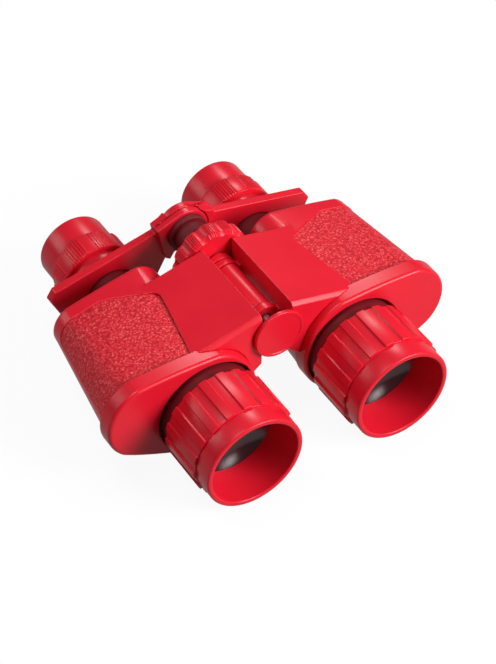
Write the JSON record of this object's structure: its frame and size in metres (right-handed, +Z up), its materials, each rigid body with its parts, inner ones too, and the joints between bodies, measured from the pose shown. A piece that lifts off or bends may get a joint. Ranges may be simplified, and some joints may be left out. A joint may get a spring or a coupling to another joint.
{
  "type": "toy binoculars",
  "caption": "Red plastic toy binoculars: hinged housings with grained grip panels, fluted objective rings, a centre focus wheel that slides the eyepiece bridge, and ribbed eyepiece rings.",
  "frame": {"origin": "centre of the bounding box on the resting surface", "axes": "+Z up, -Y towards the objectives' view, +Y towards the user's eyes, +X across to the user's left half"},
  "size_m": [0.1398, 0.129, 0.0532],
  "materials": {
    "red_shell": "moulded glossy red plastic",
    "red_grain": "red plastic with a fine moulded leather grain",
    "dark_inner": "dark red inner moulding",
    "lens": "clear moulded lens",
    "pin_steel": "plain turned steel"
  },
  "bodies": {
    "right_half": {"right_housing": "red_shell", "right_front_cover": "red_shell", "right_grip_panel": "red_grain", "right_objective_barrel": "red_shell", "right_objective_ring": "red_shell", "right_objective_bezel": "red_shell", "right_objective_lens": "lens", "right_lens_retainer": "dark_inner", "hinge_tube": "red_shell", "hinge_pin": "pin_steel", "hinge_cap": "red_shell"},
    "left_half": {"left_housing": "red_shell", "left_front_cover": "red_shell", "left_grip_panel": "red_grain", "left_objective_barrel": "red_shell", "left_objective_ring": "red_shell", "left_objective_bezel": "red_shell", "left_objective_lens": "lens", "left_lens_retainer": "dark_inner"},
    "focus": {"focus_wheel": "red_shell", "focus_spindle": "pin_steel"},
    "right_bridge": {"right_bridge_arm": "red_shell", "right_eyepiece_tube": "red_shell", "bridge_hub": "red_shell", "hub_cap": "red_shell"},
    "right_dioptre": {"right_dioptre_ring": "red_shell", "right_eyecup": "red_shell"},
    "right_ocular": {"right_ocular_cell": "dark_inner", "right_ocular_lens": "lens"},
    "left_bridge": {"left_bridge_arm": "red_shell", "left_eyepiece_tube": "red_shell"},
    "left_dioptre": {"left_dioptre_ring": "red_shell", "left_eyecup": "red_shell"},
    "left_ocular": {"left_ocular_cell": "dark_inner", "left_ocular_lens": "lens"}
  },
  "joints": [
    {"name": "ipd_hinge", "type": "hinge", "parent": "right_half", "child": "left_half", "pos_m": [0, 0, 0.0387], "axis": [0, 1, 0], "range_deg": [-24, 26]},
    {"name": "focus_turn", "type": "hinge", "parent": "right_half", "child": "focus", "pos_m": [0, 0, 0.0387], "axis": [0, 1, 0], "range_deg": [-180, 180]},
    {"name": "right_focus_slide", "type": "slide", "parent": "right_half", "child": "right_bridge", "axis": [0, 1, 0], "range_m": [-0.004, 0.004]},
    {"name": "left_focus_slide", "type": "slide", "parent": "left_half", "child": "left_bridge", "axis": [0, 1, 0], "range_m": [-0.004, 0.004]},
    {"name": "right_dioptre_turn", "type": "hinge", "parent": "right_bridge", "child": "right_dioptre", "pos_m": [-0.03042, 0, 0.0205], "axis": [0, 1, 0], "range_deg": [-60, 60]},
    {"name": "right_ocular_slide", "type": "slide", "parent": "right_bridge", "child": "right_ocular", "axis": [0, 1, 0], "range_m": [-0.001, 0.001]},
    {"name": "left_dioptre_turn", "type": "hinge", "parent": "left_bridge", "child": "left_dioptre", "pos_m": [0.03042, 0, 0.0205], "axis": [0, 1, 0], "range_deg": [-60, 60]},
    {"name": "left_ocular_slide", "type": "slide", "parent": "left_bridge", "child": "left_ocular", "axis": [0, 1, 0], "range_m": [-0.001, 0.001]}
  ],
  "couplings": [
    {"joint": "focus_turn", "follows": "right_focus_slide", "rad_per_m": 785.39},
    {"joint": "left_focus_slide", "follows": "right_focus_slide", "ratio": 1},
    {"joint": "right_dioptre_turn", "follows": "right_ocular_slide", "rad_per_m": 1047.2},
    {"joint": "left_dioptre_turn", "follows": "left_ocular_slide", "rad_per_m": 1047.2}
  ]
}
